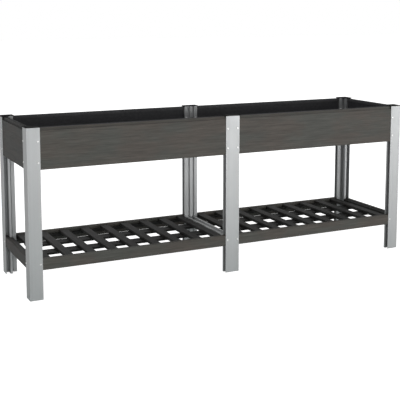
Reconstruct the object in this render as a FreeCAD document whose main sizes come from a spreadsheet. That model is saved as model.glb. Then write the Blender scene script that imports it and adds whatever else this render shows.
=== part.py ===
import FreeCAD, Part
import os
import Sketcher

# Raised planter on six aluminium legs: a long trough of grooved composite boards at the top, a slatted
# shelf near the ground, and a black lining in the trough.
#
# Frame: +X along the length, +Y from the front to the back, +Z up.  The origin is on the ground, below
# the middle of the planter.  Every size is in millimetres.

SIZES = {
    # overall
    "overall_length": 2000.0,
    "overall_width": 500.0,
    "leg_height": 766.0,
    # leg extrusions: plates, board slots and the ribs on the inner side
    "wall": 2.0,
    "slot": 20.0,
    "rib_depth": 8.0,
    "corner_arm": 60.0,
    "corner_rib": 18.0,
    "mid_leg_half": 36.0,
    "mid_leg_rib": 17.0,
    "mid_leg_core": 12.0,
    "centre_rib": 7.0,
    "leg_round": 1.5,
    # boards
    "board": 19.5,
    "board_end_gap": 1.0,
    "board_chamfer": 1.5,
    "panel_foot": 580.0,
    "panel_face": 172.0,
    "tongue_rise": 12.0,
    "tongue_front": 5.0,
    "tongue_back": 16.0,
    "groove_play": 0.5,
    "rail_foot": 133.0,
    "rail_height": 52.0,
    # shelf
    "slat_width": 40.0,
    "slat_thick": 14.0,
    "slat_top": 181.0,
    "slat_first": 61.0,
    "slat_pitch": 106.75,
    "slat_chamfer": 1.5,
    "batten_place": 74.5,
    "batten_width": 65.0,
    "batten_thick": 10.0,
    "batten_short": 5.0,
    "ledger": 14.0,
    "channel_half": 20.0,
    "channel_top": 173.0,
    "channel_lip": 7.0,
    "channel_shelf": 32.0,
    # trough floor
    "floor_top": 601.0,
    "floor_thick": 14.0,
    "floor_edge": 217.0,
    "floor_end": 966.0,
    "floor_gap": 2.5,
    "beam_half": 12.0,
    "beam_flange": 30.0,
    "angle_leg": 20.0,
    # lining
    "lining": 1.5,
    "lining_play": 0.5,
    "lining_top": 765.5,
    # leg caps
    "cap_thick": 3.0,
    "cap_overhang": 3.0,
    "cap_round": 1.0,
    "plug_play": 0.3,
    "plug_depth": 13.5,
    # bolts and cap nuts
    "bolt_inset": 9.5,
    "bolt_low": 161.0,
    "bolt_panel_low": 612.0,
    "bolt_panel_high": 705.0,
    "bolt_radius": 2.5,
    "bolt_hole": 2.8,
    "head_radius": 4.75,
    "head_height": 2.6,
    "head_round": 1.5,
    "shank_short": 0.5,
    "socket_corner": 1.75,
    "socket_depth": 1.6,
    "nut_corner": 4.4,
    "nut_height": 4.0,
    "nut_dome": 3.6,
    "nut_bore": 2.55,
}
SLATS_PER_BAY = 9
FLOOR_BOARDS_PER_BAY = 3
SAME_PLACE = 0.01
LEAST_CUT = 1.0

doc = FreeCAD.newDocument("raised_planter")
parts = []


# ---------------------------------------------------------------- sheet and shared helpers
def fill_sheet():
    sheet = doc.addObject("Spreadsheet::Sheet", "Sizes")
    for row, (name, size) in enumerate(SIZES.items(), start=1):
        sheet.set("A%d" % row, name)
        sheet.set("B%d" % row, str(size))
        sheet.setAlias("B%d" % row, name)
    doc.recompute()
    return sheet


def sized(text):
    """The expression with every size name pointed at the sheet."""
    names = sorted(SIZES, key=len, reverse=True)
    words = []
    for word in text.replace("(", " ( ").replace(")", " ) ").split():
        words.append("Sizes." + word if word in names else word)
    return " ".join(words)


def value(text):
    """What an expression comes to, from the sheet's cells."""
    return float(sheet.evalExpression(sized(text)))


def minus(text):
    """The expression with its sign turned."""
    return "0 - ( %s )" % text


def bind(thing, prop, text):
    thing.setExpression(prop, sized(text))


def place(thing, across="0", back="0", up="0", turn=0):
    """Puts a sub-part's own origin at a point, turned about +Z by a whole number of degrees."""
    thing.Placement = FreeCAD.Placement(
        FreeCAD.Vector(0, 0, 0), FreeCAD.Rotation(FreeCAD.Vector(0, 0, 1), turn))
    for axis, text in (("x", across), ("y", back), ("z", up)):
        bind(thing, "Placement.Base." + axis, text)


def new_body(label):
    body = doc.addObject("PartDesign::Body", label)
    body.Label = label
    parts.append(body)
    return body


def new_sketch(body, name, role):
    plane = [item for item in body.Origin.OriginFeatures if item.Role == role][0]
    sketch = body.newObject("Sketcher::SketchObject", name)
    sketch.AttachmentSupport = [(plane, "")]
    sketch.MapMode = "FlatFace"
    return sketch


def pin_point(sketch, geometry, point, across, up):
    """Holds one point of a sketch at two expressions."""
    for kind, text in (("DistanceX", across), ("DistanceY", up)):
        rule = Sketcher.Constraint(kind, -1, 1, geometry, point, value(text))
        number = sketch.addConstraint(rule)
        bind(sketch, "Constraints[%d]" % number, text)


def add_outline(sketch, corners):
    """A closed outline of straight sides through corners given as pairs of expressions."""
    points = [FreeCAD.Vector(value(across), value(up), 0) for across, up in corners]
    count = len(points)
    first = sketch.GeometryCount
    for index in range(count):
        sketch.addGeometry(Part.LineSegment(points[index], points[(index + 1) % count]))
    for index in range(count):
        following = first + (index + 1) % count
        sketch.addConstraint(Sketcher.Constraint("Coincident", first + index, 2, following, 1))
    for index, (across, up) in enumerate(corners):
        pin_point(sketch, first + index, 1, across, up)


def add_rectangle(sketch, left, low, right, high):
    add_outline(sketch, [(left, low), (right, low), (right, high), (left, high)])


def add_circle(sketch, across, up, radius):
    centre = FreeCAD.Vector(value(across), value(up), 0)
    number = sketch.addGeometry(Part.Circle(centre, FreeCAD.Vector(0, 0, 1), value(radius)))
    pin_point(sketch, number, 3, across, up)
    rule = sketch.addConstraint(Sketcher.Constraint("Radius", number, value(radius)))
    bind(sketch, "Constraints[%d]" % rule, radius)


def pad(body, sketch, length, backwards=False):
    feature = body.newObject("PartDesign::Pad", sketch.Name + "_pad")
    feature.Profile = sketch
    feature.Reversed = backwards
    bind(feature, "Length", length)
    return feature


def drill(body, sketch, backwards=False):
    """A pocket right through the body, which has to take some of it away."""
    doc.recompute()
    before = body.Shape.Volume
    feature = body.newObject("PartDesign::Pocket", sketch.Name + "_pocket")
    feature.Profile = sketch
    feature.Type = "ThroughAll"
    feature.Reversed = backwards
    doc.recompute()
    if body.Shape.Volume > before - LEAST_CUT:
        raise RuntimeError(body.Label + ": the holes cut nothing")
    return feature


def round_edges(body, feature, radius, wanted):
    """A fillet on the edges of a feature whose middle points pass the test."""
    doc.recompute()
    names = []
    for number, edge in enumerate(feature.Shape.Edges, start=1):
        if wanted(edge):
            names.append("Edge%d" % number)
    fillet = body.newObject("PartDesign::Fillet", feature.Name + "_fillet")
    fillet.Base = (feature, names)
    bind(fillet, "Radius", radius)
    return fillet


def new_box(name, start, size):
    """A plain block from three expressions for its lowest corner and three for its size."""
    box = doc.addObject("Part::Box", name)
    for prop, text in zip(("Length", "Width", "Height"), size):
        bind(box, prop, text)
    place(box, *start)
    return box


def join(name, shapes):
    fused = doc.addObject("Part::MultiFuse", name)
    fused.Shapes = shapes
    fused.Refine = True
    return fused


def take_away(name, base, tool):
    cut = doc.addObject("Part::Cut", name)
    cut.Base = base
    cut.Tool = tool
    cut.Refine = True
    return cut


# ---------------------------------------------------------------- legs
BOLT_LEVELS = ("bolt_low", "bolt_panel_low", "bolt_panel_high")


def corner_outline():
    """Half of the corner section, from its outer corner to its inner one; the rest mirrors it."""
    lip = "wall + slot"
    inner = "wall + slot + wall"
    deep = "wall + slot + wall + rib_depth"
    return [
        ("corner_arm", "0"), ("corner_arm", "wall"), (inner, "wall"), (inner, lip),
        ("corner_arm", lip), ("corner_arm", deep), ("corner_arm - corner_rib", deep),
        ("corner_arm - corner_rib", inner),
    ]


def build_corner_leg(label, across, back, turn):
    """An extrusion round the corner: an outer angle, a box in the corner and a slot along each arm."""
    body = new_body(label)
    section = new_sketch(body, label + "_section", "XY_Plane")
    half = corner_outline()
    inner = "wall + slot + wall"
    mirrored = [(up, along) for along, up in reversed(half)]
    add_outline(section, [("0", "0")] + half + [(inner, inner)] + mirrored)
    add_rectangle(section, "wall", "wall", "wall + slot", "wall + slot")
    hollow = ("corner_arm - corner_rib + wall", inner, "corner_arm - wall", inner + " + rib_depth - wall")
    add_rectangle(section, *hollow)
    add_rectangle(section, hollow[1], hollow[0], hollow[3], hollow[2])
    extrusion = pad(body, section, "leg_height")
    round_edges(body, extrusion, "leg_round", is_outer_corner)
    front = new_sketch(body, label + "_front_holes", "XZ_Plane")
    side = new_sketch(body, label + "_side_holes", "YZ_Plane")
    for level in BOLT_LEVELS:
        add_circle(front, "corner_arm - bolt_inset", level, "bolt_hole")
        add_circle(side, "corner_arm - bolt_inset", level, "bolt_hole")
    drill(body, front)
    drill(body, side, backwards=True)
    place(body, across, back, "0", turn)


def is_outer_corner(edge):
    middle = edge.CenterOfMass
    return abs(middle.x) < SAME_PLACE and abs(middle.y) < SAME_PLACE


def build_mid_leg(label, back, turn):
    """An extrusion with a slot to each side, a box between the slots and three ribs on its inner side."""
    body = new_body(label)
    section = new_sketch(body, label + "_section", "XY_Plane")
    lip = "wall + slot"
    inner = "wall + slot + wall"
    deep = inner + " + rib_depth"
    rib = "mid_leg_half - mid_leg_rib"
    half = [
        ("mid_leg_half", "0"), ("mid_leg_half", "wall"), ("mid_leg_core", "wall"),
        ("mid_leg_core", lip), ("mid_leg_half", lip), ("mid_leg_half", deep), (rib, deep), (rib, inner),
        ("centre_rib", inner), ("centre_rib", deep),
    ]
    mirrored = [(minus(along), up) for along, up in reversed(half)]
    add_outline(section, half + mirrored)
    core = "mid_leg_core - wall"
    add_rectangle(section, minus(core), "wall", core, lip)
    near = rib + " + wall"
    far = "mid_leg_half - wall"
    centre = "centre_rib - wall"
    for left, right in ((near, far), (minus(far), minus(near)), (minus(centre), centre)):
        add_rectangle(section, left, inner, right, deep + " - wall")
    pad(body, section, "leg_height")
    holes = new_sketch(body, label + "_holes", "XZ_Plane")
    for level in BOLT_LEVELS:
        add_circle(holes, "mid_leg_half - bolt_inset", level, "bolt_hole")
        add_circle(holes, "bolt_inset - mid_leg_half", level, "bolt_hole")
    drill(body, holes)
    place(body, "0", back, "0", turn)


# The four corners: name, the way to the corner along X and along Y, and the turn that points it inwards.
CORNERS = (
    ("front_left", "0 - overall_length / 2", "0 - overall_width / 2", 0),
    ("front_right", "overall_length / 2", "0 - overall_width / 2", 90),
    ("back_right", "overall_length / 2", "overall_width / 2", 180),
    ("back_left", "0 - overall_length / 2", "overall_width / 2", 270),
)
MIDDLES = (
    ("front_mid", "0 - overall_width / 2", 0),
    ("back_mid", "overall_width / 2", 180),
)


# ---------------------------------------------------------------- caps
def build_cap(label, plate, plugs, across, back, turn):
    """A flat plate over a leg's end with plugs that go down into the extrusion."""
    body = new_body(label)
    top = new_sketch(body, label + "_plate", "XY_Plane")
    add_outline(top, plate)
    slab = pad(body, top, "cap_thick")
    round_edges(body, slab, "cap_round", is_top_edge)
    down = new_sketch(body, label + "_plugs", "XY_Plane")
    for rectangle in plugs:
        add_rectangle(down, *rectangle)
    pad(body, down, "plug_depth", backwards=True)
    place(body, across, back, "leg_height", turn)


def is_top_edge(edge):
    return min(vertex.Z for vertex in edge.Vertexes) > value("cap_thick") - SAME_PLACE


def corner_cap_shapes():
    """The L-shaped plate over a corner leg, and its plugs: one in the box, two beside each tongue."""
    out = "0 - cap_overhang"
    far = "corner_arm + cap_overhang"
    deep = "wall + slot + wall + rib_depth + cap_overhang"
    plate = [(out, out), (far, out), (far, deep), (deep, deep), (deep, far), (out, far)]
    low = "wall + plug_play"
    high = "wall + slot - plug_play"
    plugs = [(low, low, high, high)]
    start = "wall + slot + wall + plug_play"
    for near, away in tongue_gaps():
        plugs.append((start, near, "corner_arm", away))
        plugs.append((near, start, away, "corner_arm"))
    return plate, plugs


def mid_cap_shapes():
    half = "mid_leg_half + cap_overhang"
    deep = "wall + slot + wall + rib_depth + cap_overhang"
    plate = [(minus(half), "0 - cap_overhang"), (half, "0 - cap_overhang"), (half, deep),
             (minus(half), deep)]
    core = "mid_leg_core - wall - plug_play"
    plugs = [(minus(core), "wall + plug_play", core, "wall + slot - plug_play")]
    start = "mid_leg_core + plug_play"
    for near, away in tongue_gaps():
        plugs.append((start, near, "mid_leg_half", away))
        plugs.append((minus("mid_leg_half"), near, minus(start), away))
    return plate, plugs


def tongue_gaps():
    """The free depth of a slot in front of a board's tongue and behind it."""
    play = "( slot - board ) / 2"
    front = ("wall + plug_play", "wall + %s + tongue_front - plug_play" % play)
    behind = ("wall + %s + tongue_back + plug_play" % play, "wall + slot - plug_play")
    return front, behind


# ---------------------------------------------------------------- boards
def panel_outline():
    """A board's section: its face, a groove along the foot and a tongue along the top."""
    groove_front = "tongue_front - groove_play"
    groove_back = "tongue_back + groove_play"
    groove_top = "tongue_rise + groove_play"
    tip = "panel_face + tongue_rise"
    return [
        ("0", "board_chamfer"), ("board_chamfer", "0"),
        (groove_front, "0"), (groove_front, groove_top), (groove_back, groove_top), (groove_back, "0"),
        ("board - board_chamfer", "0"), ("board", "board_chamfer"),
        ("board", "panel_face - board_chamfer"), ("board - board_chamfer", "panel_face"),
        ("tongue_back", "panel_face"), ("tongue_back", tip + " - groove_play"),
        ("tongue_back - groove_play", tip), ("tongue_front + groove_play", tip),
        ("tongue_front", tip + " - groove_play"), ("tongue_front", "panel_face"),
        ("board_chamfer", "panel_face"), ("0", "panel_face - board_chamfer"),
    ]


def plain_outline(thick, high, chamfer):
    """A rectangle of two expressions with its corners cut by a third."""
    return [
        ("0", chamfer), (chamfer, "0"), (thick + " - " + chamfer, "0"), (thick, chamfer),
        (thick, high + " - " + chamfer), (thick + " - " + chamfer, high), (chamfer, high),
        ("0", high + " - " + chamfer),
    ]


def build_bar(label, outline, length, hole_levels=()):
    """A bar with its section in Y and Z and its length along X, drilled near both ends on request."""
    body = new_body(label)
    section = new_sketch(body, label + "_section", "YZ_Plane")
    add_outline(section, outline)
    pad(body, section, length)
    if hole_levels:
        holes = new_sketch(body, label + "_holes", "XZ_Plane")
        for level, first, last in hole_levels:
            add_circle(holes, first, level, "bolt_hole")
            add_circle(holes, length + " - ( %s )" % last, level, "bolt_hole")
        drill(body, holes)
    return body


CORNER_END = "wall + slot + wall + board_end_gap"
MID_END = "mid_leg_core + board_end_gap"
LONG_BOARD = "overall_length / 2 - ( %s ) - ( %s )" % (CORNER_END, MID_END)
SHORT_BOARD = "overall_width - 2 * ( %s )" % CORNER_END
BOARD_FACE = "wall + ( slot - board ) / 2"
CORNER_BOLT = "corner_arm - bolt_inset - ( %s )" % CORNER_END
MID_BOLT = "mid_leg_half - bolt_inset - ( %s )" % MID_END


# The six stretches between legs: name, start of the board, turn, length, and its bolts' insets.
def board_runs():
    side = "overall_length / 2 - ( %s )" % CORNER_END
    face_y = "overall_width / 2 - ( %s )" % BOARD_FACE
    face_x = "overall_length / 2 - ( %s )" % BOARD_FACE
    end_y = "overall_width / 2 - ( %s )" % CORNER_END
    return (
        ("front_left", minus(side), minus(face_y), 0, LONG_BOARD, CORNER_BOLT, MID_BOLT),
        ("front_right", MID_END, minus(face_y), 0, LONG_BOARD, MID_BOLT, CORNER_BOLT),
        ("back_right", side, face_y, 180, LONG_BOARD, CORNER_BOLT, MID_BOLT),
        ("back_left", minus(MID_END), face_y, 180, LONG_BOARD, MID_BOLT, CORNER_BOLT),
        ("right_end", face_x, minus(end_y), 90, SHORT_BOARD, CORNER_BOLT, CORNER_BOLT),
        ("left_end", minus(face_x), end_y, 270, SHORT_BOARD, CORNER_BOLT, CORNER_BOLT),
    )


def build_boards():
    for name, across, back, turn, length, first, last in board_runs():
        levels = [(level + " - panel_foot", first, last) for level in BOLT_LEVELS[1:]]
        panel = build_bar(name + "_panel", panel_outline(), length, levels)
        place(panel, across, back, "panel_foot", turn)
        levels = [("bolt_low - rail_foot", first, last)]
        outline = plain_outline("board", "rail_height", "board_chamfer")
        rail = build_bar(name + "_shelf_rail", outline, length, levels)
        place(rail, across, back, "rail_foot", turn)


# ---------------------------------------------------------------- shelf
INNER_FACE = "overall_width / 2 - wall - ( slot + board ) / 2"
END_FACE = "overall_length / 2 - wall - ( slot + board ) / 2"
BATTEN_FOOT = "slat_top - slat_thick - batten_thick"


def build_slats():
    """Slats across the shelf, numbered from the middle legs outwards in each bay."""
    outline = plain_outline("slat_width", "slat_thick", "slat_chamfer")
    length = "2 * ( %s - board_end_gap )" % INNER_FACE
    for bay, way in (("left", "0 - "), ("right", "")):
        for number in range(SLATS_PER_BAY):
            slat = build_bar("shelf_slat_%s_%d" % (bay, number + 1), outline, length)
            centre = way + "( slat_first + %d * slat_pitch )" % number
            place(slat, centre + " + slat_width / 2", "0 - ( %s ) / 2" % length,
                  "slat_top - slat_thick", 90)


def build_battens():
    """Two flat battens along each bay, under the slats, from the channel to the last slat."""
    outline = plain_outline("batten_width", "batten_thick", "slat_chamfer")
    near = "channel_half + board_end_gap"
    far = "slat_first + %d * slat_pitch + slat_width / 2 - batten_short" % (SLATS_PER_BAY - 1)
    for bay, start in (("left", minus(far)), ("right", near)):
        for row, centre in (("front", minus("batten_place")), ("back", "batten_place")):
            batten = build_bar("shelf_batten_%s_%s" % (bay, row), outline, "%s - ( %s )" % (far, near))
            place(batten, start, centre + " - batten_width / 2", BATTEN_FOOT)


def build_shelf_channel():
    """An open aluminium channel between the middle legs, with a shelf each side for the battens."""
    body = new_body("shelf_cross_channel")
    section = new_sketch(body, "shelf_channel_section", "XZ_Plane")
    low = BATTEN_FOOT
    half = [
        ("channel_shelf", low + " - wall"), ("channel_shelf", low), ("channel_half", low),
        ("channel_half", "channel_top"), ("channel_half - channel_lip", "channel_top"),
        ("channel_half - channel_lip", "channel_top - wall"), ("channel_half - wall", "channel_top - wall"),
        ("channel_half - wall", low),
    ]
    mirrored = [(minus(along), up) for along, up in reversed(half)]
    add_outline(section, half + mirrored)
    length = "overall_width - 2 * ( wall + slot + wall + rib_depth + board_end_gap / 2 )"
    pad(body, section, length)
    place(body, "0", "( %s ) / 2" % length)


def build_shelf_ledgers():
    """Strips inside the rails: long ones under the slats' ends, and one inside each end rail."""
    blocks = []
    start = "mid_leg_half + board_end_gap"
    length = "overall_length / 2 - corner_arm - mid_leg_half - 2 * board_end_gap"
    for side, across in (("left", minus(start + " + " + length)), ("right", start)):
        for row, back in (("front", minus(INNER_FACE)), ("back", "%s - ledger" % INNER_FACE)):
            blocks.append(new_box("slat_ledger_%s_%s" % (side, row),
                                  (across, back, "slat_top - slat_thick - ledger"),
                                  (length, "ledger", "ledger")))
    width = "overall_width - 2 * ( corner_arm + board_end_gap )"
    for side, across in (("left", minus(END_FACE)), ("right", "%s - ledger" % END_FACE)):
        blocks.append(new_box("end_strip_" + side,
                              (across, "0 - ( %s ) / 2" % width, "slat_top - 2 * ledger"),
                              ("ledger", width, "2 * ledger")))
    group("shelf_ledgers", blocks)


# ---------------------------------------------------------------- trough floor
def build_floor_boards():
    """Boards along each bay, from the cross beam to the end panel, side by side."""
    width = "( 2 * floor_edge - %d * floor_gap ) / %d" % (FLOOR_BOARDS_PER_BAY - 1, FLOOR_BOARDS_PER_BAY)
    length = "floor_end - beam_half - board_end_gap"
    outline = plain_outline("( %s )" % width, "floor_thick", "slat_chamfer")
    for bay, start in (("left", "0 - floor_end"), ("right", "beam_half + board_end_gap")):
        for number in range(FLOOR_BOARDS_PER_BAY):
            board = build_bar("floor_board_%s_%d" % (bay, number + 1), outline, length)
            place(board, start, "0 - floor_edge + %d * ( %s + floor_gap )" % (number, width),
                  "floor_top - floor_thick")


def build_floor_beam():
    """A hollow beam between the middle legs with a flange each side that carries the floor boards."""
    body = new_body("floor_cross_beam")
    section = new_sketch(body, "floor_beam_section", "XZ_Plane")
    under = "floor_top - floor_thick"
    half = [
        ("beam_flange", under + " - wall"), ("beam_flange", under), ("beam_half", under),
        ("beam_half", "floor_top"),
    ]
    mirrored = [(minus(along), up) for along, up in reversed(half)]
    add_outline(section, half + mirrored)
    add_rectangle(section, "wall - beam_half", under, "beam_half - wall", "floor_top - wall")
    length = "overall_width - 2 * ( wall + slot + wall + rib_depth + board_end_gap / 2 )"
    pad(body, section, length)
    place(body, "0", "( %s ) / 2" % length)


def build_floor_angles():
    """Aluminium angles inside the panels that carry the floor boards' outer edges and ends."""
    angles = []
    start = "mid_leg_half + board_end_gap"
    length = "overall_length / 2 - corner_arm - mid_leg_half - 2 * board_end_gap"
    top = "floor_top - floor_thick"
    for side, across in (("left", minus(start + " + " + length)), ("right", start)):
        for row, shelf, upright in (
                ("front", minus(INNER_FACE), minus(INNER_FACE)),
                ("back", "%s - angle_leg" % INNER_FACE, "%s - wall" % INNER_FACE)):
            name = "floor_angle_%s_%s" % (side, row)
            flat = new_box(name + "_flat", (across, shelf, top + " - wall"), (length, "angle_leg", "wall"))
            wall = new_box(name + "_wall", (across, upright, top + " - wall"),
                           (length, "wall", "floor_thick"))
            angles.append(join(name, [flat, wall]))
    width = "overall_width - 2 * ( corner_arm + board_end_gap )"
    back = "0 - ( %s ) / 2" % width
    for side, shelf, upright in (
            ("left", minus(END_FACE), minus(END_FACE)),
            ("right", "%s - angle_leg" % END_FACE, "%s - wall" % END_FACE)):
        name = "floor_angle_" + side
        flat = new_box(name + "_flat", (shelf, back, top + " - wall"), ("angle_leg", width, "wall"))
        wall = new_box(name + "_wall", (upright, back, top + " - wall"), ("wall", width, "floor_thick"))
        angles.append(join(name, [flat, wall]))
    group("floor_angles", angles)


def group(label, members):
    """One named sub-part that holds several separate solids."""
    doc.recompute()
    feature = doc.addObject("Part::Compound", label)
    feature.Label = label
    feature.Links = members
    parts.append(feature)
    return feature


# ---------------------------------------------------------------- lining
def build_lining():
    """A thin open box against the panels and the floor, cut away where the legs stand inside it."""
    half_x = "%s - lining_play" % END_FACE
    half_y = "%s - lining_play" % INNER_FACE
    foot = "floor_top + lining_play"
    outer = new_box("lining_outer", (minus(half_x), minus(half_y), foot),
                    ("2 * ( %s )" % half_x, "2 * ( %s )" % half_y, "lining_top - ( %s )" % foot))
    inner = new_box("lining_inner",
                    (minus(half_x + " - lining"), minus(half_y + " - lining"), foot + " + lining"),
                    ("2 * ( %s - lining )" % half_x, "2 * ( %s - lining )" % half_y, "lining_top"))
    tools = [inner]
    arm = "corner_arm + board_end_gap / 2"
    deep = "wall + slot + wall + rib_depth + board_end_gap / 2"
    for name, side_x, side_y in (("fl", -1, -1), ("fr", 1, -1), ("br", 1, 1), ("bl", -1, 1)):
        for number, (along, into) in enumerate(((arm, deep), (deep, arm))):
            tools.append(leg_clearance("lining_%s_%d" % (name, number), side_x, side_y, along, into))
    half = "mid_leg_half + board_end_gap / 2"
    for name, side_y in (("front", -1), ("back", 1)):
        start = "0 - overall_width / 2" if side_y < 0 else "overall_width / 2 - ( %s )" % deep
        tools.append(new_box("lining_mid_" + name, (minus(half), start, "panel_foot"),
                             ("2 * ( %s )" % half, deep, "leg_height")))
    hollow = join("lining_hollow", tools)
    lining = take_away("trough_lining", outer, hollow)
    lining.Label = "trough_lining"
    parts.append(lining)


def leg_clearance(name, side_x, side_y, along, into):
    """A block at one corner of the planter, so long and so deep, from the panels' foot upwards."""
    left = "0 - overall_length / 2" if side_x < 0 else "overall_length / 2 - ( %s )" % along
    front = "0 - overall_width / 2" if side_y < 0 else "overall_width / 2 - ( %s )" % into
    return new_box(name, (left, front, "panel_foot"), (along, into, "leg_height"))


# ---------------------------------------------------------------- bolts and nuts
def bolt_places():
    """Where each bolt's head meets a leg's face, with the turn that points its shank inwards."""
    places = []
    half_x = value("overall_length / 2")
    half_y = value("overall_width / 2")
    corner = value("corner_arm - bolt_inset")
    middle = value("mid_leg_half - bolt_inset")
    for level in BOLT_LEVELS:
        height = value(level)
        for way, turn in ((-1, 0), (1, 180)):
            for across in (-half_x + corner, -middle, middle, half_x - corner):
                places.append((FreeCAD.Vector(across, way * half_y, height), turn))
            for back in (-half_y + corner, half_y - corner):
                places.append((FreeCAD.Vector(-way * half_x, back, height), turn + 90))
    return places


def spread(label, master):
    """One sub-part with a copy of the master solid at every bolt's place."""
    doc.recompute()
    copies = []
    for base, turn in bolt_places():
        copy = master.Shape.copy()
        turned = FreeCAD.Placement(base, FreeCAD.Rotation(FreeCAD.Vector(0, 0, 1), turn))
        copy.Placement = turned.multiply(copy.Placement)
        copies.append(copy)
    feature = doc.addObject("Part::Feature", label)
    feature.Label = label
    feature.Shape = Part.makeCompound(copies)
    parts.append(feature)


def lying(thing, back):
    """Turns a primitive made along +Z to lie along +Y, starting so far from the leg's face."""
    thing.Placement = FreeCAD.Placement(
        FreeCAD.Vector(0, 0, 0), FreeCAD.Rotation(FreeCAD.Vector(1, 0, 0), -90))
    bind(thing, "Placement.Base.y", back)


GRIP = "wall + slot + wall + rib_depth"


def build_bolts():
    """Button-head bolts from the outer plates through board and rib."""
    shank = doc.addObject("Part::Cylinder", "bolt_shank")
    bind(shank, "Radius", "bolt_radius")
    bind(shank, "Height", GRIP + " + nut_height - shank_short")
    lying(shank, "0")
    head = doc.addObject("Part::Cylinder", "bolt_head_blank")
    bind(head, "Radius", "head_radius")
    bind(head, "Height", "head_height")
    lying(head, "0 - head_height")
    doc.recompute()
    rounded = doc.addObject("Part::Fillet", "bolt_head_round")
    rounded.Base = head
    outer = []
    for number, edge in enumerate(head.Shape.Edges, start=1):
        if abs(edge.CenterOfMass.y + value("head_height")) < SAME_PLACE:
            outer.append((number, value("head_round"), value("head_round")))
    rounded.Edges = outer
    blank = join("bolt_blank", [shank, rounded])
    socket = doc.addObject("Part::Prism", "bolt_socket")
    socket.Polygon = 6
    bind(socket, "Circumradius", "socket_corner")
    bind(socket, "Height", "socket_depth")
    lying(socket, "0 - head_height")
    spread("bolts", take_away("bolt", blank, socket))


def build_nuts():
    """Domed hexagon nuts against the ribs, on the trough's and the shelf's side."""
    hexagon = doc.addObject("Part::Prism", "nut_hexagon")
    hexagon.Polygon = 6
    bind(hexagon, "Circumradius", "nut_corner")
    bind(hexagon, "Height", "nut_height")
    lying(hexagon, GRIP)
    dome = doc.addObject("Part::Sphere", "nut_dome")
    bind(dome, "Radius", "nut_dome")
    dome.Angle1 = 0
    lying(dome, GRIP + " + nut_height")
    thread = doc.addObject("Part::Cylinder", "nut_thread")
    bind(thread, "Radius", "nut_bore")
    bind(thread, "Height", "nut_height")
    lying(thread, GRIP)
    solid = join("nut_blank", [hexagon, dome])
    spread("cap_nuts", take_away("nut", solid, thread))


# ---------------------------------------------------------------- build, check and write
def build_all():
    for name, across, back, turn in CORNERS:
        build_corner_leg(name + "_leg", across, back, turn)
        plate, plugs = corner_cap_shapes()
        build_cap(name + "_cap", plate, plugs, across, back, turn)
    for name, back, turn in MIDDLES:
        build_mid_leg(name + "_leg", back, turn)
        plate, plugs = mid_cap_shapes()
        build_cap(name + "_cap", plate, plugs, "0", back, turn)
    build_boards()
    build_slats()
    build_battens()
    build_shelf_channel()
    build_shelf_ledgers()
    build_floor_boards()
    build_floor_beam()
    build_floor_angles()
    build_lining()
    build_bolts()
    build_nuts()


def check_all():
    doc.recompute()
    for thing in doc.Objects:
        if "Invalid" in thing.State or "Error" in thing.State:
            raise RuntimeError(thing.Label + " failed: " + str(thing.State))
    for part in parts:
        if part.Shape.isNull() or not part.Shape.isValid() or not part.Shape.Solids:
            raise RuntimeError(part.Label + " has no valid solid")


def write_all():
    os.makedirs("parts", exist_ok=True)
    for part in parts:
        part.Shape.exportStep(os.path.join("parts", part.Label + ".step"))
        box = part.Shape.BoundBox
        print("%-28s %2d solids %10.0f mm3  x %.1f..%.1f  y %.1f..%.1f  z %.1f..%.1f" % (
            part.Label, len(part.Shape.Solids), part.Shape.Volume,
            box.XMin, box.XMax, box.YMin, box.YMax, box.ZMin, box.ZMax))


sheet = fill_sheet()
build_all()
check_all()
write_all()
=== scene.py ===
import math

import bmesh
import bpy
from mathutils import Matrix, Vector, noise


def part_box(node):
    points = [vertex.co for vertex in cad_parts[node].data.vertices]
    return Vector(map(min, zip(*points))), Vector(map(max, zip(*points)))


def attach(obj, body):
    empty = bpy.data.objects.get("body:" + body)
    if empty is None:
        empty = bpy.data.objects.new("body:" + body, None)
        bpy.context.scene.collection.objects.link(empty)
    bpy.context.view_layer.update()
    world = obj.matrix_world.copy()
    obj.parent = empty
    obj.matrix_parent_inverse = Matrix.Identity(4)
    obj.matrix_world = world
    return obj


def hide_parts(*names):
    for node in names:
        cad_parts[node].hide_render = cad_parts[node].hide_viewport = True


# Looks for a raised planter on six legs: aluminium extrusions, dark brushed composite boards, black
# plastic caps and a black film lining.  Metres; +X along the planter, +Y to the back, +Z up.

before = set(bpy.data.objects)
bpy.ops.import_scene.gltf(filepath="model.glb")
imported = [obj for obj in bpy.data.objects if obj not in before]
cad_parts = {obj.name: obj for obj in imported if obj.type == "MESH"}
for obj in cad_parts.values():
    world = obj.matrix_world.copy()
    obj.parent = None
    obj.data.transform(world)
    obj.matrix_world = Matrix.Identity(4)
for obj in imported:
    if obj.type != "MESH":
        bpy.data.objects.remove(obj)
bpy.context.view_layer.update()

WHITE = (1.0, 1.0, 1.0, 1.0)
ALONG_X = (1, 0, 0)
ALONG_Y = (0, 1, 0)
ALONG_Z = (0, 0, 1)


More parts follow.
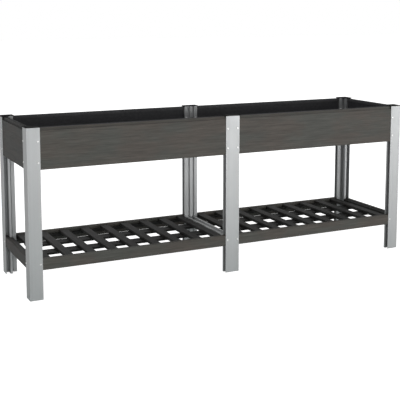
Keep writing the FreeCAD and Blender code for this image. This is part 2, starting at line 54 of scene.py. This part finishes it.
# ---------------------------------------------------------------- node helpers
class Shader:
    """A material's node tree, with short names for the nodes that every finish here uses."""

    def __init__(self, name, **sockets):
        self.material = bpy.data.materials.new(name)
        self.material.use_nodes = True
        self.nodes = self.material.node_tree.nodes
        self.links = self.material.node_tree.links
        self.surface = self.nodes["Principled BSDF"]
        for key, value in sockets.items():
            self.surface.inputs[key.replace("_", " ")].default_value = value
        self.place = self.nodes.new("ShaderNodeTexCoord").outputs["Object"]

    def wire(self, source, node, socket):
        self.links.new(source, node.inputs[socket])

    def feed(self, item, node, socket):
        """Gives a socket a link, a number or a colour's three parts."""
        if hasattr(item, "links"):
            self.wire(item, node, socket)
        elif isinstance(item, tuple):
            node.inputs[socket].default_value = (*item, 1.0)
        else:
            node.inputs[socket].default_value = item

    def noise(self, scales, detail, roughness=0.55, shift=(0, 0, 0)):
        """Noise with so many features to the metre along X, Y and Z."""
        mapping = self.nodes.new("ShaderNodeMapping")
        mapping.inputs["Location"].default_value = shift
        mapping.inputs["Scale"].default_value = scales
        self.wire(self.place, mapping, "Vector")
        texture = self.nodes.new("ShaderNodeTexNoise")
        texture.inputs["Scale"].default_value = 1.0
        texture.inputs["Detail"].default_value = detail
        texture.inputs["Roughness"].default_value = roughness
        self.wire(mapping.outputs["Vector"], texture, "Vector")
        return texture.outputs["Fac"]

    def height(self):
        """How high a point is above the ground."""
        split = self.nodes.new("ShaderNodeSeparateXYZ")
        self.wire(self.place, split, "Vector")
        return split.outputs["Z"]

    def dot(self, first, second):
        node = self.nodes.new("ShaderNodeVectorMath")
        node.operation = "DOT_PRODUCT"
        self.wire(first, node, 0)
        if hasattr(second, "links"):
            self.wire(second, node, 1)
        else:
            node.inputs[1].default_value = second
        return node.outputs["Value"]

    def spread(self, source, before, after=(0.0, 1.0), smooth=False):
        """Maps a number from the span before to the span after."""
        node = self.nodes.new("ShaderNodeMapRange")
        if smooth:
            node.interpolation_type = "SMOOTHSTEP"
        node.inputs["From Min"].default_value, node.inputs["From Max"].default_value = before
        node.inputs["To Min"].default_value, node.inputs["To Max"].default_value = after
        self.wire(source, node, "Value")
        return node.outputs["Result"]

    def mix(self, factor, first, second, kind="MIX"):
        """Mixes two colours, each a link or a tuple, by a link or a number."""
        node = self.nodes.new("ShaderNodeMix")
        node.data_type = "RGBA"
        node.blend_type = kind
        for socket, item in ((0, factor), (6, first), (7, second)):
            self.feed(item, node, socket)
        return node.outputs[2]

    def math(self, kind, *items):
        node = self.nodes.new("ShaderNodeMath")
        node.operation = kind
        for socket, item in enumerate(items):
            self.feed(item, node, socket)
        return node.outputs["Value"]

    def bump(self, height, depth, strength, after=None):
        """Adds relief so many metres deep, on top of an earlier bump."""
        node = self.nodes.new("ShaderNodeBump")
        node.inputs["Strength"].default_value = strength
        node.inputs["Distance"].default_value = depth
        self.wire(height, node, "Height")
        if after is not None:
            self.wire(after, node, "Normal")
        return node.outputs["Normal"]

    def edges(self, radius, edge_highlight):
        """The share of painted highlight along sharp outer edges, and 0 on flat faces."""
        bevel = self.nodes.new("ShaderNodeBevel")
        bevel.samples = 4
        bevel.inputs["Radius"].default_value = radius
        geometry = self.nodes.new("ShaderNodeNewGeometry")
        bend = self.dot(bevel.outputs["Normal"], geometry.outputs["True Normal"])
        return self.math("MULTIPLY", self.spread(bend, EDGE_BEND), edge_highlight)

    def finish(self, colour, roughness, normal):
        self.wire(colour, self.surface, "Base Color")
        self.wire(roughness, self.surface, "Roughness")
        self.wire(normal, self.surface, "Normal")
        return self.material


EDGE_BEND = (0.99, 0.80)


def shaded(tone, *ways):
    """A tone with its three parts multiplied by one number, or by three."""
    return tuple(part * way for part, way in zip(tone, ways if len(ways) == 3 else ways * 3))


def stretched(along, slow, fast):
    """Noise scales that run slowly along one axis and fast across it."""
    return tuple(slow if part else fast for part in along)


def choose_for_camera(tree, others, camera, output):
    """Shows the camera one shader, and gives every other ray another."""
    choice = tree.nodes.new("ShaderNodeMixShader")
    path = tree.nodes.new("ShaderNodeLightPath")
    tree.links.new(path.outputs["Is Camera Ray"], choice.inputs["Fac"])
    tree.links.new(others, choice.inputs[1])
    tree.links.new(camera, choice.inputs[2])
    tree.links.new(choice.outputs["Shader"], output.inputs["Surface"])


# ---------------------------------------------------------------- camera, floor and light
CAMERA_PLACE = (-1.9345, -3.8659, 1.2693)
CAMERA_YAW = math.radians(25.954)
CAMERA_PITCH = math.radians(7.277)
CAMERA_LENS = 78.0
CAMERA_SENSOR = 36.0
CAMERA_SHIFT_UP = -0.20

FLOOR_SIZE = 60.0
FLOOR_TONE = (0.80, 0.80, 0.80, 1.0)
FLOOR_GLOW = 0.90
# The light that the floor throws back grows along this direction, over this reach either way from
# the planter, from the near tone to the far one.
BOUNCE_WAY = (0.66, -0.75, 0.0)
BOUNCE_REACH = (0.3, 1.3)
BOUNCE_NEAR = (0.87, 0.93, 0.92)
BOUNCE_FAR = (0.95, 0.95, 0.95)

WORLD_FILL = 0.54
WORLD_SEEN = 1.0
# Each area light's name, place, target, size and watts.
LIGHTS = (
    ("low_wide", (3.6, -5.0, 0.7), (3.0, 0.0, 0.4), (6.0, 1.0), 91),
    ("front_low", (0.0, -5.5, 1.0), (0.0, 0.0, 0.4), (5.0, 1.8), 18),
    ("left_low", (-4.2, -2.6, 0.5), (0.0, 0.0, 0.3), (2.2, 0.9), 22),
    ("back_low", (-0.2, 5.0, 0.35), (-0.2, 0.0, 0.4), (2.4, 0.6), 17),
    ("right_low", (4.6, 0.6, 0.5), (0.0, 0.0, 0.4), (1.6, 0.8), 12),
)


def make_camera():
    camera = bpy.data.cameras.new("camera")
    camera.lens = CAMERA_LENS
    camera.sensor_width = CAMERA_SENSOR
    camera.shift_y = CAMERA_SHIFT_UP
    holder = bpy.data.objects.new("camera", camera)
    holder.location = CAMERA_PLACE
    holder.rotation_euler = (math.pi / 2 - CAMERA_PITCH, 0.0, -CAMERA_YAW)
    bpy.context.collection.objects.link(holder)
    bpy.context.scene.camera = holder


def make_floor():
    half = FLOOR_SIZE / 2
    corners = [(-half, -half, 0), (half, -half, 0), (half, half, 0), (-half, half, 0)]
    mesh = bpy.data.meshes.new("floor")
    mesh.from_pydata(corners, [], [(0, 1, 2, 3)])
    mesh.materials.append(floor_paint())
    floor = bpy.data.objects.new("floor", mesh)
    bpy.context.collection.objects.link(floor)


def floor_paint():
    """White to the camera; to the planter, dimmer close by than further out."""
    paint = Shader("floor", Base_Color=FLOOR_TONE, Roughness=0.9, Specular_IOR_Level=0.1,
                   Emission_Color=WHITE, Emission_Strength=FLOOR_GLOW)
    away = paint.math("ABSOLUTE", paint.dot(paint.place, BOUNCE_WAY))
    reach = paint.spread(away, BOUNCE_REACH, smooth=True)
    dim = paint.nodes.new("ShaderNodeBsdfDiffuse")
    paint.wire(paint.mix(reach, BOUNCE_NEAR, BOUNCE_FAR), dim, "Color")
    choose_for_camera(paint, dim.outputs["BSDF"], paint.surface.outputs["BSDF"],
                      paint.nodes["Material Output"])
    return paint.material


def make_world():
    """White behind the planter, and a dimmer white around it as its fill light."""
    world = bpy.data.worlds.new("studio")
    world.use_nodes = True
    fill = world.node_tree.nodes["Background"]
    backdrop = world.node_tree.nodes.new("ShaderNodeBackground")
    for background, strength in ((fill, WORLD_FILL), (backdrop, WORLD_SEEN)):
        background.inputs["Color"].default_value = WHITE
        background.inputs["Strength"].default_value = strength
    choose_for_camera(world.node_tree, fill.outputs["Background"], backdrop.outputs["Background"],
                      world.node_tree.nodes["World Output"])
    bpy.context.scene.world = world


def area_light(name, place, target, size, watts):
    light = bpy.data.lights.new(name, "AREA")
    light.shape = "RECTANGLE"
    light.size, light.size_y = size
    light.energy = watts
    holder = bpy.data.objects.new(name, light)
    holder.location = place
    aim = Vector(target) - Vector(place)
    holder.rotation_euler = aim.to_track_quat("-Z", "Y").to_euler()
    bpy.context.collection.objects.link(holder)


def make_light():
    for light in LIGHTS:
        area_light(*light)
    make_world()
    bpy.context.scene.view_settings.view_transform = "Standard"


# ---------------------------------------------------------------- finishes
PANEL_TONE = (0.0775, 0.0732, 0.0664)
# End boards: the same composite as the long boards, set darker; the darker tone is partly painted shade,
# taken from the shaded left end and set on both ends.
END_TONE_WITH_SHADE = (0.043, 0.042, 0.040)
# Slats and battens: the same composite as the panels, set far darker; the darker tone is partly painted
# shade from the trough above them.
SLAT_TONE_WITH_SHADE = (0.0165, 0.0161, 0.0154)
LEG_TONE = (0.470, 0.480, 0.483)
BEAM_TONE = (0.74, 0.75, 0.755)
# Colour of the painted highlight along the aluminium's edges.
METAL_EDGE_HIGHLIGHT = (0.90, 0.91, 0.92)
CAP_TONE = (0.008, 0.008, 0.008)
# Colour of the painted highlight along the caps' edges.
CAP_EDGE_HIGHLIGHT = (0.09, 0.09, 0.09)
STEEL_TONE = (0.93, 0.93, 0.92)
FILM_TONE = (0.0320, 0.0323, 0.0350)

LEG_METALLIC = 0.62
BEAM_METALLIC = 0.45
# Painted shade along the boards' top strip, the tongue and its shoulder: above this height, blended over
# this blur, the colour is multiplied by the long boards' factor and by the end boards' factor given
# below.
PANEL_CREST = 0.752
CREST_BLUR = 0.001
LONG_TOP_PAINTED_SHADE = 0.78
END_TOP_PAINTED_SHADE = 0.30


def composite(name, along, tone, top_painted_shade=1.0):
    """Brushed wood-plastic: short combed lines along the board, faint brown and green patches, a painted
    highlight along its edges and painted shade along its top strip.
    """
    board = Shader(name, Specular_IOR_Level=0.35)
    lines = board.noise(stretched(along, slow=16, fast=520), detail=4, roughness=0.62)
    streaks = board.noise(stretched(along, slow=8, fast=150), detail=4, roughness=0.6,
                          shift=(3.1, 7.7, 1.3))
    patches = board.noise(stretched(along, slow=4.5, fast=12), detail=3, shift=(9.4, 2.2, 5.8))
    brown = shaded(tone, 1.060, 0.980, 0.935)
    green = shaded(tone, 0.960, 1.020, 1.000)
    colour = board.mix(board.spread(patches, (0.40, 0.60)), brown, green)
    colour = board.mix(0.9, colour, board.spread(streaks, (0.28, 0.72), (0.74, 1.26)), "MULTIPLY")
    colour = board.mix(0.9, colour, board.spread(lines, (0.25, 0.75), (0.70, 1.30)), "MULTIPLY")
    # Painted highlight along the board's edges.
    colour = board.mix(board.edges(radius=0.0015, edge_highlight=0.30), colour, shaded(tone, 1.7))
    # Painted shade: the top strip above this height is darkened by the given factor.
    top_shade_mask = board.spread(board.height(), (PANEL_CREST - CREST_BLUR, PANEL_CREST + CREST_BLUR))
    colour = board.mix(top_shade_mask, colour, (top_painted_shade, top_painted_shade, top_painted_shade), "MULTIPLY")
    rough = board.spread(lines, (0.3, 0.7), (0.52, 0.70))
    relief = board.bump(lines, depth=0.0006, strength=0.5)
    relief = board.bump(streaks, depth=0.0012, strength=0.35, after=relief)
    return board.finish(colour, rough, relief)


def anodised(name, along, tone, metallic):
    """Satin anodised extrusion: die lines along its length, faint cloudy patches, and a painted
    highlight along its edges.
    """
    metal = Shader(name, Metallic=metallic, Specular_IOR_Level=0.5)
    lines = metal.noise(stretched(along, slow=1.2, fast=620), detail=3, roughness=0.5)
    bands = metal.noise(stretched(along, slow=0.5, fast=60), detail=2, shift=(4.0, 1.7, 0.4))
    clouds = metal.noise((9, 9, 7), detail=3, shift=(1.1, 5.2, 8.6))
    colour = metal.mix(0.6, tone, metal.spread(lines, (0.3, 0.7), (0.93, 1.05)), "MULTIPLY")
    colour = metal.mix(0.6, colour, metal.spread(bands, (0.3, 0.7), (0.95, 1.04)), "MULTIPLY")
    # Painted highlight along the edges.
    colour = metal.mix(metal.edges(radius=0.0008, edge_highlight=0.30), colour, METAL_EDGE_HIGHLIGHT)
    cloudy = metal.spread(clouds, (0.35, 0.65), (-0.035, 0.035))
    rough = metal.math("ADD", metal.spread(lines, (0.3, 0.7), (0.38, 0.50)), cloudy)
    relief = metal.bump(lines, depth=0.00012, strength=0.35)
    return metal.finish(colour, rough, relief)


def moulded(name, tone):
    """Black moulded plastic with a fine spark-eroded grain, a few duller patches and a painted highlight
    along its edges.
    """
    plastic = Shader(name, Specular_IOR_Level=0.06)
    grain = plastic.noise((1500, 1500, 1500), detail=2)
    patches = plastic.noise((25, 25, 25), detail=3, shift=(2.0, 0.5, 7.0))
    colour = plastic.mix(plastic.spread(patches, (0.35, 0.65)), tone, shaded(tone, 1.5))
    # Painted highlight along the edges.
    colour = plastic.mix(plastic.edges(radius=0.0007, edge_highlight=0.25), colour, CAP_EDGE_HIGHLIGHT)
    rough = plastic.spread(patches, (0.3, 0.7), (0.62, 0.76))
    return plastic.finish(colour, rough, plastic.bump(grain, depth=0.0002, strength=0.35))


def film(name, tone):
    """Thin black film: a soft cool sheen, fine crinkles and faint dust."""
    sheet = Shader(name, Specular_IOR_Level=0.38)
    crinkle = sheet.noise((38, 38, 46), detail=5, roughness=0.6)
    ripple = sheet.noise((7, 7, 4), detail=2, shift=(6.0, 3.0, 1.0))
    dust = sheet.noise((70, 70, 110), detail=3, shift=(1.0, 9.0, 4.0))
    colour = sheet.mix(sheet.spread(dust, (0.40, 0.80)), tone, shaded(tone, 1.5))
    rough = sheet.spread(ripple, (0.3, 0.7), (0.40, 0.58))
    relief = sheet.bump(ripple, depth=0.004, strength=0.30)
    relief = sheet.bump(crinkle, depth=0.0010, strength=0.25, after=relief)
    return sheet.finish(colour, rough, relief)


def zinc(name, tone):
    """Zinc-plated steel with fine speckle and slightly darker patches."""
    metal = Shader(name, Metallic=0.7)
    speckle = metal.noise((900, 900, 900), detail=3)
    patches = metal.noise((140, 140, 140), detail=2, shift=(3.0, 3.0, 8.0))
    colour = metal.mix(metal.spread(patches, (0.3, 0.7)), tone, shaded(tone, 0.82))
    rough = metal.spread(speckle, (0.3, 0.7), (0.22, 0.40))
    return metal.finish(colour, rough, metal.bump(speckle, depth=0.00008, strength=0.4))


# The finish that a node takes, from the first of these words that its name holds.
RULES = (
    ("_leg", "leg"), ("_cap", "cap"), ("_end_panel", "end"), ("_end_shelf_rail", "end"),
    ("_panel", "long"), ("_shelf_rail", "long"), ("shelf_slat", "slat"),
    ("shelf_batten", "batten"), ("shelf_ledgers", "batten"), ("floor_board", "batten"),
    ("cross", "beam_y"), ("floor_angles", "beam_x"), ("bolts", "steel"), ("nuts", "steel"),
    ("lining", "cap"),
)


def finish_nodes():
    """Gives every CAD node that keeps its shape its procedural finish."""
    finishes = {
        "leg": anodised("leg_aluminium", ALONG_Z, LEG_TONE, LEG_METALLIC),
        "beam_y": anodised("beam_aluminium", ALONG_Y, BEAM_TONE, BEAM_METALLIC),
        "beam_x": anodised("angle_aluminium", ALONG_X, BEAM_TONE, BEAM_METALLIC),
        "cap": moulded("cap_plastic", CAP_TONE),
        "long": composite("composite_long", ALONG_X, PANEL_TONE, LONG_TOP_PAINTED_SHADE),
        "end": composite("composite_end_shaded", ALONG_Y, END_TONE_WITH_SHADE, END_TOP_PAINTED_SHADE),
        "slat": composite("composite_slat_shaded", ALONG_Y, SLAT_TONE_WITH_SHADE),
        "batten": composite("composite_batten_shaded", ALONG_X, SLAT_TONE_WITH_SHADE),
        "steel": zinc("fastener_steel", STEEL_TONE),
    }
    for name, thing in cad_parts.items():
        finish = finishes[next(finish for word, finish in RULES if word in name)]
        if not thing.material_slots:
            thing.data.materials.append(finish)
        for slot in thing.material_slots:
            slot.material = finish


# ---------------------------------------------------------------- lining
FILM = 0.0008
FILM_GRID = 0.013
FILM_PLAY = 0.0008
FOLD_RADIUS = 0.016
HEM_RADIUS = 0.0011
HEM_DROP = 0.017
BEND_STEPS = 4
SHARP_ANGLE = math.radians(40)
LEG_ROOM = 0.0005

WALL_SWELL = 0.0030
FLOOR_SWELL = 0.0035
SWELL_FADE = 0.05
# Each wave's turns to the metre along X, Y and Z, its shift along X and its height.
BROAD_WAVE = ((5.0, 5.0, 9.0), 2.7, 0.5)
FINE_WAVE = ((19.0, 19.0, 7.0), 8.1, 0.35)
WAVE_MIDDLE = 0.5


class LegRoom:
    """The plan of the legs, with a little room, where the film is cut away."""

    def __init__(self):
        corner_low, corner_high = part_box("front_left_leg")
        mid_low, mid_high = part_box("front_mid_leg")
        self.end = -corner_low.x
        self.side = -mid_low.y
        self.arm = corner_high.x - corner_low.x + LEG_ROOM
        self.depth = mid_high.y - mid_low.y + LEG_ROOM
        self.mid_half = mid_high.x + LEG_ROOM

    def cuts_along(self):
        return [self.mid_half, self.end - self.arm, self.end - self.depth]

    def cuts_across(self):
        return [self.side - self.arm, self.side - self.depth]

    def covers(self, x, y):
        from_end = self.end - abs(x)
        from_side = self.side - abs(y)
        on_middle = abs(x) < self.mid_half and from_side < self.depth
        on_long_arm = from_end < self.arm and from_side < self.depth
        on_short_arm = from_end < self.depth and from_side < self.arm
        return on_middle or on_long_arm or on_short_arm


class Lining:
    """One film with four walls folded up from its floor, each with its top turned over in a hem."""

    def __init__(self, low, high):
        self.half_x = high.x - FILM_PLAY
        self.half_y = high.y - FILM_PLAY
        self.foot = low.z + FILM
        self.top = high.z - HEM_RADIUS
        self.bend = math.pi * FOLD_RADIUS / 2
        self.rise = self.top - self.foot - FOLD_RADIUS
        self.turn = math.pi * HEM_RADIUS
        self.flap = self.bend + self.rise + self.turn + HEM_DROP

    def reach(self, half):
        """How far the flat film runs from the middle to the end of its hem."""
        return half - FOLD_RADIUS + self.flap

    def fold(self, along, half):
        """Where a flat distance from the middle ends up: its distance out and its height."""
        way = math.copysign(1.0, along)
        left = abs(along) - (half - FOLD_RADIUS)
        if left <= 0:
            return along, 0.0
        if left < self.bend:
            angle = left / FOLD_RADIUS
            out = half - FOLD_RADIUS + FOLD_RADIUS * math.sin(angle)
            return way * out, FOLD_RADIUS * (1 - math.cos(angle))
        left -= self.bend
        if left < self.rise:
            return way * half, FOLD_RADIUS + left
        left -= self.rise
        if left < self.turn:
            angle = left / HEM_RADIUS
            inwards = HEM_RADIUS * (1 - math.cos(angle))
            return way * (half - inwards), FOLD_RADIUS + self.rise + HEM_RADIUS * math.sin(angle)
        return way * (half - 2 * HEM_RADIUS), FOLD_RADIUS + self.rise - (left - self.turn)

    def stops(self, half, cuts):
        """Flat distances for the grid's lines: even steps, and exact ones at folds, hems and cuts."""
        flat = half - FOLD_RADIUS
        wall = flat + self.bend
        hem = wall + self.rise
        ends = sorted([0.0, flat, wall, hem, hem + self.turn, self.reach(half)] + cuts)
        found = []
        for start, end in zip(ends, ends[1:]):
            tight = start >= flat and end <= wall or start >= hem and end < self.reach(half)
            count = max(BEND_STEPS if tight else 1, round((end - start) / FILM_GRID))
            found += [start + (end - start) * step / count for step in range(count)]
        found.append(ends[-1])
        return [-stop for stop in reversed(found[1:])] + found

    def point(self, u, v):
        """Where a point of the flat film ends up, and how high each fold lifts it."""
        x, rise_x = self.fold(u, self.half_x)
        y, rise_y = self.fold(v, self.half_y)
        return x, y, rise_x, rise_y

    def mesh(self, legs):
        """The folded film as a grid, without its four corners and the plan of the legs."""
        across = self.stops(self.half_x, legs.cuts_along())
        back = self.stops(self.half_y, legs.cuts_across())
        mesh = bmesh.new()
        grid = {}
        for column, u in enumerate(across):
            for row, v in enumerate(back):
                x, y, rise_x, rise_y = self.point(u, v)
                grid[column, row] = mesh.verts.new((x, y, self.foot + rise_x + rise_y))
        for column in range(len(across) - 1):
            for row in range(len(back) - 1):
                u = (across[column] + across[column + 1]) / 2
                v = (back[row] + back[row + 1]) / 2
                x, y, rise_x, rise_y = self.point(u, v)
                in_corner = min(rise_x, rise_y) > FOLD_RADIUS / 2
                if not in_corner and not legs.covers(x, y):
                    places = ((column, row), (column + 1, row), (column + 1, row + 1), (column, row + 1))
                    mesh.faces.new([grid[place] for place in places])
        loose = [vert for vert in mesh.verts if not vert.link_faces]
        bmesh.ops.delete(mesh, geom=loose, context="VERTS")
        return mesh

    def ruffle(self, mesh):
        """Soft swells in the film, always away from the boards behind it, and none along the hem."""
        for vert in mesh.verts:
            height = vert.co.z - self.foot
            free = self.top - HEM_DROP - FILM_GRID - vert.co.z
            fade = min(1.0, max(0.0, free / SWELL_FADE))
            swell = max(0.0, WAVE_MIDDLE + wavy(vert.co, *BROAD_WAVE) + wavy(vert.co, *FINE_WAVE))
            if height <= FOLD_RADIUS:
                vert.co.z += FLOOR_SWELL * swell * (1 - height / (2 * FOLD_RADIUS))
            elif abs(abs(vert.co.x) - self.half_x) < 3 * HEM_RADIUS:
                vert.co.x -= math.copysign(WALL_SWELL * swell * fade, vert.co.x)
            else:
                vert.co.y -= math.copysign(WALL_SWELL * swell * fade, vert.co.y)


def wavy(place, turns, shift, height):
    spot = Vector((place.x * turns[0] + shift, place.y * turns[1], place.z * turns[2]))
    return height * noise.noise(spot)


def thickened(mesh):
    """Turns the grid into a film with two sides, smooth except at its sharp edges."""
    bmesh.ops.recalc_face_normals(mesh, faces=mesh.faces)
    data = bpy.data.meshes.new("lining_film")
    mesh.to_mesh(data)
    mesh.free()
    piece = bpy.data.objects.new("lining_film", data)
    bpy.context.collection.objects.link(piece)
    thick = piece.modifiers.new("film", "SOLIDIFY")
    thick.thickness = FILM
    thick.offset = 0.0
    bpy.context.view_layer.objects.active = piece
    piece.select_set(True)
    bpy.ops.object.modifier_apply(modifier=thick.name)
    bpy.ops.object.shade_smooth_by_angle(angle=SHARP_ANGLE)
    return piece


def build_lining():
    lining = Lining(*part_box("trough_lining"))
    mesh = lining.mesh(LegRoom())
    lining.ruffle(mesh)
    piece = thickened(mesh)
    piece.data.materials.append(film("lining_film", FILM_TONE))
    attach(piece, "root")
    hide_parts("trough_lining")


# ---------------------------------------------------------------- build
make_camera()
make_floor()
make_light()
finish_nodes()
build_lining()
